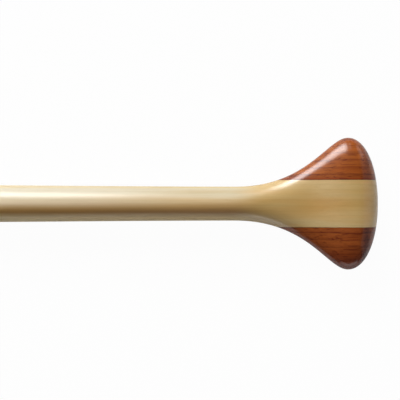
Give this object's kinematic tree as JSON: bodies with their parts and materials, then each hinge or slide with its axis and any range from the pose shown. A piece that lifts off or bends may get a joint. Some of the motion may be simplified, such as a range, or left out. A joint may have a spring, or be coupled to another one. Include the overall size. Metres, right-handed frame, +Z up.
{
  "type": "canoe paddle",
  "caption": "Laminated wooden canoe paddle: a palm grip with red wings, a pale oval shaft, and a striped rounded blade with a resin edge round its tip.",
  "frame": {"origin": "middle of the paddle's length and width, on the plane that the underside of the grip's palm roll touches when the paddle lies flat", "axes": "+X along the paddle towards the grip, +Y across the blade, +Z up through the blade's faces"},
  "size_m": [1.448, 0.2032, 0.034],
  "materials": {
    "light_wood": "pale basswood under gloss varnish",
    "red_wood": "red-brown cedar under gloss varnish",
    "edge_resin": "cast resin, dark brown, glossy"
  },
  "bodies": {
    "root": {"centre_stave": "light_wood", "grip_wing_left": "red_wood", "grip_wing_right": "red_wood", "blade_stave_left_1": "red_wood", "blade_stave_left_2": "light_wood", "blade_stave_left_3": "red_wood", "blade_stave_left_4": "light_wood", "blade_stave_left_5": "red_wood", "blade_stave_right_1": "red_wood", "blade_stave_right_2": "light_wood", "blade_stave_right_3": "red_wood", "blade_stave_right_4": "light_wood", "blade_stave_right_5": "red_wood", "tip_guard": "edge_resin"}
  },
  "joints": []
}
